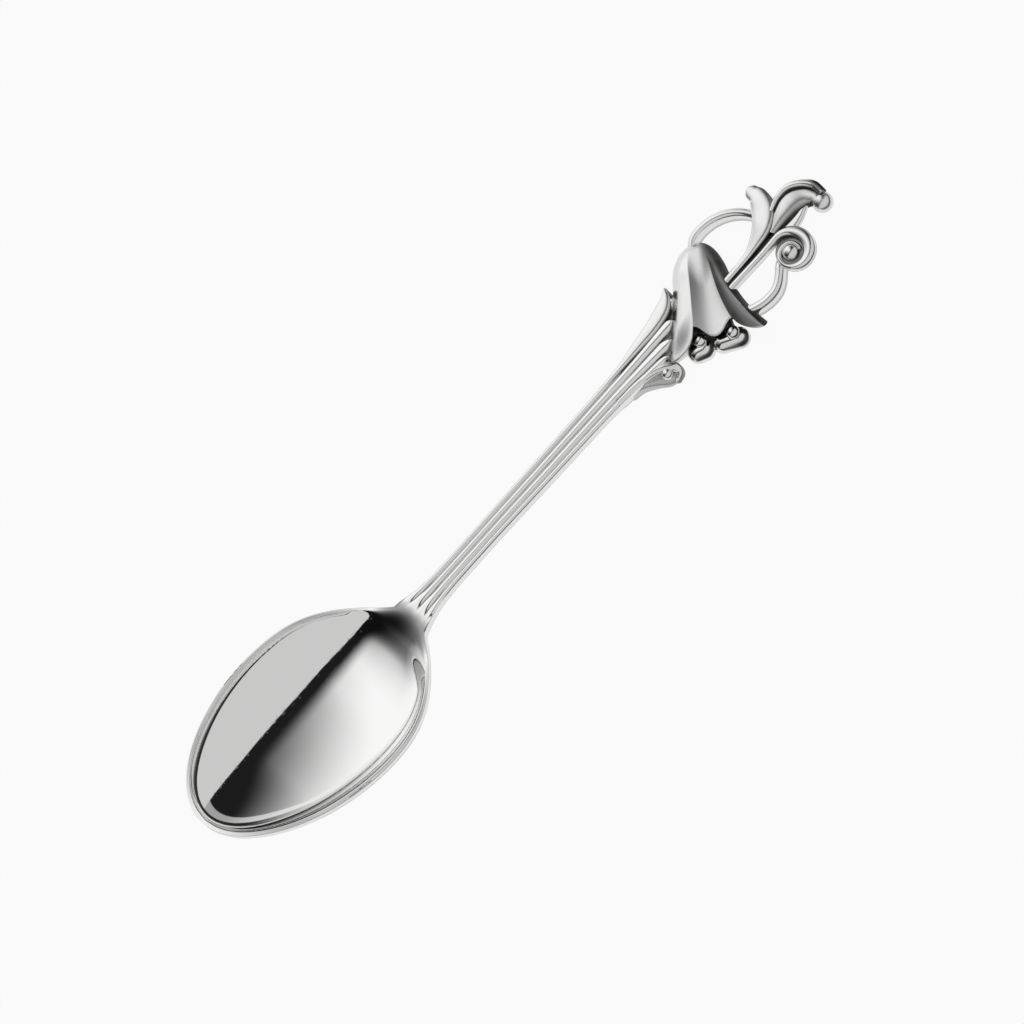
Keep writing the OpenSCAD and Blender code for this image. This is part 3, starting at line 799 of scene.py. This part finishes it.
def bud_and_berry(k, x, y, half_x, half_y, berry_y):
    """Bud round (x, y) with its ends half_x and half_y away, its root and its berry."""
    x = RING_X + x
    bud = rod((x - half_x, y + half_y, 1.9), (x + half_x, y - half_y, 1.9), BUD_RADIUS)
    # A belt of painted dark reflection along the front of the bud.
    belt = ease(bud[..., 2], 3.2, 3.0) * ease(bud[..., 2], 2.4, 2.6)
    bud[..., 3] = 0.9 * belt * ease(y - bud[..., 1], 0.3, 0.8)
    root = rod((x, y, 1.6), (x + 1.5, y + 3.1, 2.0), 1.1)
    # The root is painted black as shade.
    root[..., 3] = 0.75
    berry = (x + 0.85, y + berry_y, 3.4)
    forms[f"bud_{k}"] = bud
    forms[f"bud_root_{k}"] = root
    forms[f"berry_{k}"] = rod(berry, berry, BERRY_RADIUS, dark_from=2.95)


bud_and_berry(0, -11.8, -4.75, 0.4, 0.2, 0.6)
bud_and_berry(1, -8, -6.9, 0.95, 0.65, 0.05)
calyx = [(-10.9, -4.3, 1, 1.9), (-8.4, -5, 1, 1.9)]
forms["calyx"] = band(in_ring(calyx), 0, 0.3, count=12)
# The calyx is painted dark as shade.
forms["calyx"][..., 3] = 0.8
print(len(forms), "forms in the finial")

# %% Finial
POLISHED, BRUSHED, SATIN = 0, 1, 2
finish_numbers = {"bell": SATIN, "scroll_plate": SATIN, "knob": SATIN,
                  "bud_0": POLISHED, "bud_1": POLISHED, "berry_0": POLISHED, "berry_1": POLISHED}
finial = cast_mesh("finial", forms, lambda key: finish_numbers.get(key, BRUSHED))
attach(finial, "root")

# %% [markdown]
# ## Old silver
#
# The bowl, the buds and the berries are polished, stems and leaves are brushed, and
# the bell is satin: its maker left it matt so that the flower stands out. The three
# finishes share one thing, which is how silver grows old. It is hazed a little, it
# has fine scratches in all directions and its hollows are black, partly from patina
# and partly from painted shade. A node group holds that once. It takes the mesh's
# mix of painted shade and patina, breaks up its edge with noise, and puts out a
# colour, a roughness and the height of the scratches. Hands have made the handle
# softer than the bowl, so the gloss of the polish changes behind the neck.


# %% Old silver group
def add(tree, kind, label, **values):
    """Adds a node and sets its plain properties."""
    node = tree.nodes.new(kind)
    node.label = label
    for key, value in values.items():
        setattr(node, key, value)
    return node


def scratch_lines(tree, place, turn, stretch, label):
    """Noise drawn out along one direction and cut to its thin crests."""
    spin = add(tree, "ShaderNodeMapping", label)
    spin.inputs["Rotation"].default_value = (0.1, 0.15, math.radians(turn))
    spin.inputs["Scale"].default_value = (stretch, 14 * stretch, 14 * stretch)
    noise = add(tree, "ShaderNodeTexNoise", label)
    noise.inputs["Scale"].default_value = 1.0
    noise.inputs["Detail"].default_value = 2.0
    thin = add(tree, "ShaderNodeMapRange", label, interpolation_type="SMOOTHSTEP")
    thin.inputs["From Min"].default_value = 0.66
    thin.inputs["From Max"].default_value = 0.74
    tree.links.new(place, spin.inputs["Vector"])
    tree.links.new(spin.outputs["Vector"], noise.inputs["Vector"])
    tree.links.new(noise.outputs["Fac"], thin.inputs["Value"])
    return thin.outputs["Result"]


def old_silver_group():
    """Colour, roughness and height of old silver, from place, painted shade and patina, and finish.
    """
    group = bpy.data.node_groups.new("old_silver", "ShaderNodeTree")
    make = group.interface.new_socket
    make("Place", in_out="INPUT", socket_type="NodeSocketVector")
    make("Shade_and_patina", in_out="INPUT", socket_type="NodeSocketFloat")
    make("Bright", in_out="INPUT", socket_type="NodeSocketColor")
    make("Gloss", in_out="INPUT", socket_type="NodeSocketFloat")
    make("Grain", in_out="INPUT", socket_type="NodeSocketFloat")
    make("Color", in_out="OUTPUT", socket_type="NodeSocketColor")
    make("Roughness", in_out="OUTPUT", socket_type="NodeSocketFloat")
    make("Height", in_out="OUTPUT", socket_type="NodeSocketFloat")
    given = group.nodes.new("NodeGroupInput")
    result = group.nodes.new("NodeGroupOutput")
    link = group.links.new
    place = given.outputs["Place"]

    haze = add(group, "ShaderNodeTexNoise", "haze in patches of some millimetres")
    haze.inputs["Scale"].default_value = 260.0
    haze.inputs["Detail"].default_value = 4.0
    link(place, haze.inputs["Vector"])
    speck = add(group, "ShaderNodeTexNoise", "fine grain")
    speck.inputs["Scale"].default_value = 6000.0
    speck.inputs["Detail"].default_value = 2.0
    link(place, speck.inputs["Vector"])

    # The mask below is the mesh's painted shade and patina, its edge broken by the haze.
    edge = add(group, "ShaderNodeMath", "tarnish with a broken edge", operation="MULTIPLY_ADD")
    link(haze.outputs["Fac"], edge.inputs[0])
    edge.inputs[1].default_value = 0.5
    edge.inputs[2].default_value = -0.25
    shifted = add(group, "ShaderNodeMath", "more tarnish in the haze", operation="MULTIPLY_ADD")
    link(edge.outputs[0], shifted.inputs[0])
    link(given.outputs["Shade_and_patina"], shifted.inputs[1])
    link(given.outputs["Shade_and_patina"], shifted.inputs[2])
    mask = add(group, "ShaderNodeMapRange", "tarnish mask")
    link(shifted.outputs[0], mask.inputs["Value"])

    # The black is the colour of the painted shade and of the patina.
    colour = add(group, "ShaderNodeMix", "bright to black", data_type="RGBA")
    link(mask.outputs["Result"], colour.inputs["Factor"])
    link(given.outputs["Bright"], colour.inputs["A"])
    colour.inputs["B"].default_value = (0.045, 0.043, 0.04, 1)
    link(colour.outputs["Result"], result.inputs["Color"])

    cloud = add(group, "ShaderNodeMath", "haze on the gloss", operation="MULTIPLY_ADD")
    link(haze.outputs["Fac"], cloud.inputs[0])
    cloud.inputs[1].default_value = 0.04
    link(given.outputs["Gloss"], cloud.inputs[2])
    # Where the painted shade and patina lie, the metal is duller.
    rough = add(group, "ShaderNodeMath", "tarnish is dull", operation="MULTIPLY_ADD")
    link(mask.outputs["Result"], rough.inputs[0])
    rough.inputs[1].default_value = 0.35
    link(cloud.outputs[0], rough.inputs[2])
    link(rough.outputs[0], result.inputs["Roughness"])

    lines = [scratch_lines(group, place, turn, stretch, f"scratches at {turn} degrees")
             for turn, stretch in ((12, 260), (71, 340), (128, 300))]
    total = lines[0]
    for other in lines[1:]:
        both = add(group, "ShaderNodeMath", "scratches together", operation="ADD")
        link(total, both.inputs[0])
        link(other, both.inputs[1])
        total = both.outputs[0]
    grain = add(group, "ShaderNodeMath", "grain of the satin", operation="MULTIPLY")
    link(speck.outputs["Fac"], grain.inputs[0])
    link(given.outputs["Grain"], grain.inputs[1])
    height = add(group, "ShaderNodeMath", "scratches are cut in", operation="SUBTRACT")
    link(grain.outputs[0], height.inputs[0])
    link(total, height.inputs[1])
    link(height.outputs[0], result.inputs["Height"])
    return group


old_silver = old_silver_group()
print("old_silver group has", len(old_silver.nodes), "nodes")


# %% Three finishes
BOWL_GLOSS = 0.015
HANDLE_GLOSS = 0.11


def gloss_along(tree, place, bowl, handle):
    """Roughness that goes over from the bowl's to the handle's behind the neck."""
    apart = add(tree, "ShaderNodeSeparateXYZ", "place along the spoon")
    softer = add(tree, "ShaderNodeMapRange", "softer on the handle", interpolation_type="SMOOTHSTEP")
    softer.inputs["From Min"].default_value = (NECK_X - 1) * MM
    softer.inputs["From Max"].default_value = (NECK_X + 9) * MM
    softer.inputs["To Min"].default_value = bowl
    softer.inputs["To Max"].default_value = handle
    tree.links.new(place, apart.inputs[0])
    tree.links.new(apart.outputs["X"], softer.inputs["Value"])
    return softer.outputs["Result"]


def silver_finish(name, bright, gloss, grain, depth, handle_gloss=None):
    """Metal with the shared group's colour, roughness and scratches."""
    material = bpy.data.materials.new(name)
    material.use_nodes = True
    tree = material.node_tree
    shader = tree.nodes["Principled BSDF"]
    shader.inputs["Metallic"].default_value = 1.0
    place = tree.nodes.new("ShaderNodeTexCoord")
    # The attribute read here is the mesh's painted shade and patina.
    dark = add(tree, "ShaderNodeAttribute", "tarnish of the mesh", attribute_name="shade_and_patina")
    look = add(tree, "ShaderNodeGroup", "old silver", node_tree=old_silver)
    look.inputs["Bright"].default_value = bright
    look.inputs["Gloss"].default_value = gloss
    look.inputs["Grain"].default_value = grain
    bump = add(tree, "ShaderNodeBump", "scratches")
    bump.inputs["Strength"].default_value = 0.5
    bump.inputs["Distance"].default_value = depth
    tree.links.new(place.outputs["Object"], look.inputs["Place"])
    tree.links.new(dark.outputs["Fac"], look.inputs["Shade_and_patina"])
    tree.links.new(look.outputs["Color"], shader.inputs["Base Color"])
    tree.links.new(look.outputs["Roughness"], shader.inputs["Roughness"])
    tree.links.new(look.outputs["Height"], bump.inputs["Height"])
    tree.links.new(bump.outputs["Normal"], shader.inputs["Normal"])
    if handle_gloss is not None:
        softer = gloss_along(tree, place.outputs["Object"], gloss, handle_gloss)
        tree.links.new(softer, look.inputs["Gloss"])
    return material


polished = silver_finish("polished_silver", (0.93, 0.93, 0.925, 1), BOWL_GLOSS, 0.0, 0.0000015,
                         HANDLE_GLOSS)
brushed = silver_finish("brushed_silver", (0.91, 0.91, 0.905, 1), 0.17, 0.3, 0.000003)
satin = silver_finish("satin_silver", (0.92, 0.92, 0.915, 1), 0.25, 0.6, 0.000003)
bowl_and_handle.data.materials.append(polished)
for finish in (polished, brushed, satin):
    finial.data.materials.append(finish)
print("finishes:", [finish.name for finish in finial.data.materials])

# %% [markdown]
# ## The floor
#
# The spoon lies on a plain white table. For the camera most of the white is the
# table's own colour at strength 1, and the rest is real light, so that a soft
# shadow stays. The metal sees the table too, but only as far as the white reaches:
# it ends along a line in front of the spoon and again past its right end, and all
# beyond is dark. That gives the undersides of the round forms their black lines.

# %% Floor
FLOOR_HALF = 3.0
FLOOR_Z = -0.00003
CAMERA_WHITE = 0.92
METAL_SHARE = 0.9
TABLE_WHITE = 0.8
TABLE_DARK = 0.03
WHITE_FRONT = (-0.093, 1, 0)
WHITE_FROM = -0.0153
WHITE_TO_X = 0.068
EDGE_HALF = 0.003
floor_mesh = bpy.data.meshes.new("floor")
floor_corners = [(x * FLOOR_HALF, y * FLOOR_HALF, FLOOR_Z)
                 for x, y in ((-1, -1), (1, -1), (1, 1), (-1, 1))]
floor_mesh.from_pydata(floor_corners, [], [(0, 1, 2, 3)])
floor = bpy.data.objects.new("floor", floor_mesh)
bpy.context.scene.collection.objects.link(floor)


def floor_finish():
    """Lit table, white for the camera, and in metal white only up to its edges."""
    material = bpy.data.materials.new("white_table")
    material.use_nodes = True
    tree = material.node_tree
    tree.nodes.clear()
    link = tree.links.new
    path = tree.nodes.new("ShaderNodeLightPath")
    table = add(tree, "ShaderNodeBsdfDiffuse", "lit table")
    table.inputs["Color"].default_value = (0.9, 0.9, 0.9, 1)
    white = add(tree, "ShaderNodeEmission", "white for the camera")
    seen = add(tree, "ShaderNodeMath", "share of white", operation="MULTIPLY")
    seen.inputs[1].default_value = CAMERA_WHITE
    link(path.outputs["Is Camera Ray"], seen.inputs[0])
    first = tree.nodes.new("ShaderNodeMixShader")
    link(seen.outputs[0], first.inputs["Fac"])
    link(table.outputs["BSDF"], first.inputs[1])
    link(white.outputs["Emission"], first.inputs[2])

    place = tree.nodes.new("ShaderNodeTexCoord")
    front = add(tree, "ShaderNodeVectorMath", "front edge of the white", operation="DOT_PRODUCT")
    front.inputs[1].default_value = WHITE_FRONT
    link(place.outputs["Object"], front.inputs[0])
    behind = add(tree, "ShaderNodeMapRange", "white behind the edge", interpolation_type="SMOOTHSTEP")
    behind.inputs["From Min"].default_value = WHITE_FROM - EDGE_HALF
    behind.inputs["From Max"].default_value = WHITE_FROM + EDGE_HALF
    link(front.outputs["Value"], behind.inputs["Value"])
    right = tree.nodes.new("ShaderNodeSeparateXYZ")
    link(place.outputs["Object"], right.inputs[0])
    beside = add(tree, "ShaderNodeMapRange", "white left of its end", interpolation_type="SMOOTHSTEP")
    beside.inputs["From Min"].default_value = WHITE_TO_X + EDGE_HALF
    beside.inputs["From Max"].default_value = WHITE_TO_X - EDGE_HALF
    link(right.outputs["X"], beside.inputs["Value"])
    both = add(tree, "ShaderNodeMath", "inside both edges", operation="MULTIPLY")
    link(behind.outputs["Result"], both.inputs[0])
    link(beside.outputs["Result"], both.inputs[1])
    light = add(tree, "ShaderNodeMath", "light of the table", operation="MULTIPLY_ADD")
    light.inputs[1].default_value = TABLE_WHITE
    light.inputs[2].default_value = TABLE_DARK
    link(both.outputs[0], light.inputs[0])
    mirrored = add(tree, "ShaderNodeEmission", "table in the metal")
    link(light.outputs[0], mirrored.inputs["Strength"])
    in_metal = add(tree, "ShaderNodeMath", "share seen in metal", operation="MULTIPLY")
    in_metal.inputs[1].default_value = METAL_SHARE
    link(path.outputs["Is Glossy Ray"], in_metal.inputs[0])
    second = tree.nodes.new("ShaderNodeMixShader")
    link(in_metal.outputs[0], second.inputs["Fac"])
    link(first.outputs["Shader"], second.inputs[1])
    link(mirrored.outputs["Emission"], second.inputs[2])
    output = tree.nodes.new("ShaderNodeOutputMaterial")
    link(second.outputs["Shader"], output.inputs["Surface"])
    return material


floor.data.materials.append(floor_finish())
print("table reaches", FLOOR_HALF, "m to each side")

# %% [markdown]
# ## The studio
#
# The bowl is a small concave mirror, and it shows the whole studio: a pale card on
# the camera's side whose edge runs across just past the zenith, a black gap above
# that edge which widens to the right, and a soft white light beyond the gap. The
# light fades to the left, except far back, and is dimmer low down. The card stops a
# little above the table, and round the horizon the room is dark but at the back.
# The same studio is made here in the world's nodes. Each light or gap is one smooth
# step on the share of the direction along some axis, which is how a big flat card
# with a soft edge looks from where the spoon lies.

# %% World
world = bpy.data.worlds.new("studio")
bpy.context.scene.world = world
world.use_nodes = True
studio = world.node_tree
studio.nodes.clear()
sky = studio.nodes.new("ShaderNodeTexCoord").outputs["Generated"]


def step(label, axis, low, high):
    """0 to 1 as the direction's share along the axis goes from low to high."""
    dot = add(studio, "ShaderNodeVectorMath", label, operation="DOT_PRODUCT")
    dot.inputs[1].default_value = axis
    ramp = add(studio, "ShaderNodeMapRange", label, interpolation_type="SMOOTHSTEP")
    ramp.inputs["From Min"].default_value = low
    ramp.inputs["From Max"].default_value = high
    studio.links.new(sky, dot.inputs[0])
    studio.links.new(dot.outputs["Value"], ramp.inputs["Value"])
    return ramp.outputs["Result"]


def blend(label, a, b, t):
    """a where t is 0 and b where t is 1; each of them a number or a socket."""
    node = add(studio, "ShaderNodeMix", label, data_type="FLOAT")
    for name, value in (("A", a), ("B", b), ("Factor", t)):
        if isinstance(value, float):
            node.inputs[name].default_value = value
        else:
            studio.links.new(value, node.inputs[name])
    return node.outputs["Result"]


print("made the world", world.name)

# %% Directions in the studio
CARD_AXIS = (-0.17, 0.98, 0.14)
BACK = (-0.2, 0.98, 0)
DOWN = (0, 0, -1)
past_card = step("past the card's edge", CARD_AXIS, -0.004, 0.004)
gap_end = step("end of the black gap", CARD_AXIS, 0.11, 0.31)
to_right = step("gap widens to the right", (0.94, -0.33, 0), -0.15, 0.57)
to_left = step("dim on the left", (-0.98, -0.18, -0.04), -0.25, 0.85)
low_down = step("below the lights", (0, -0.22, -1), -0.42, -0.405)
horizon = step("horizon", DOWN, -0.14, -0.1)
to_back = step("towards the back", BACK, 0.3, 0.9)
far_back = step("bright far back", BACK, 0.74, 1.0)
back_left = step("to the back and left", (-0.5, 0.87, 0), 0.3, 0.7)
card_foot = step("foot of the card", DOWN, -0.12, -0.09)
print("the card's edge is square to", CARD_AXIS)

# %% Lights of the studio
GAP_DARK = 0.012
LEFT_DARK = 0.005
LOW_LIGHT = 0.37
LOW_LIGHT_BACK = 0.9
CARD_LIGHT = 0.62
CARD_FOOT_LIGHT = 0.015
HORIZON_DARK = 0.02
HORIZON_BACK = 0.8
glow = blend("glow starts above the gap", GAP_DARK, 1.0, gap_end)
glow = blend("glow fades to the right", glow, GAP_DARK, to_right)
low_light = blend("low light, brighter at the back", LOW_LIGHT, LOW_LIGHT_BACK, to_back)
glow = blend("light low down", glow, low_light, low_down)
left_end = blend("dark on the left, not at the back", LEFT_DARK, glow, far_back)
glow = blend("glow fades to the left", glow, left_end, to_left)
card = blend("card ends above the table", CARD_LIGHT, CARD_FOOT_LIGHT, card_foot)
seen = blend("card or glow", card, glow, past_card)
at_horizon = blend("horizon, dark except at the back", HORIZON_DARK, HORIZON_BACK, back_left)
seen = blend("horizon", seen, at_horizon, horizon)
ray = studio.nodes.new("ShaderNodeLightPath")
seen = blend("white behind", seen, 1.0, ray.outputs["Is Camera Ray"])
background = studio.nodes.new("ShaderNodeBackground")
background.inputs["Color"].default_value = (1, 1, 1, 1)
studio.links.new(seen, background.inputs["Strength"])
world_output = studio.nodes.new("ShaderNodeOutputWorld")
studio.links.new(background.outputs["Background"], world_output.inputs["Surface"])
print("studio has", len(studio.nodes), "nodes")

# %% [markdown]
# ## The camera
#
# The picture looks down on the spoon from 68 degrees above the table, from the
# spoon's right side, with a long lens, so that the raised tip of the bowl isn't
# drawn larger than the rest. The spoon runs up to the right, which is a roll of the
# camera.

# %% Camera
ELEVATION = math.radians(68)
ROLL = math.radians(48.2)
PICTURE_WIDTH = 0.13865
DISTANCE = 2.4
SENSOR = 36.0
AIM_RIGHT = 0.00133
AIM_UP = 0.00003
camera_data = bpy.data.cameras.new("camera")
camera = bpy.data.objects.new("camera", camera_data)
bpy.context.scene.collection.objects.link(camera)
bpy.context.scene.camera = camera
camera_data.sensor_width = SENSOR
camera_data.lens = SENSOR * DISTANCE / PICTURE_WIDTH
camera_data.clip_start = 0.01
camera_data.clip_end = 20
back = Vector((0, -math.cos(ELEVATION), math.sin(ELEVATION)))
level_right = Vector((1, 0, 0))
level_up = back.cross(level_right)
right = level_right * math.cos(ROLL) - level_up * math.sin(ROLL)
up = level_right * math.sin(ROLL) + level_up * math.cos(ROLL)
aim = -right * AIM_RIGHT - up * AIM_UP
turn = Matrix((right, up, back)).transposed().to_4x4()
camera.matrix_world = Matrix.Translation(aim + back * DISTANCE) @ turn
bpy.context.scene.view_settings.view_transform = "Standard"
print("camera at", [round(v, 3) for v in camera.matrix_world.translation])
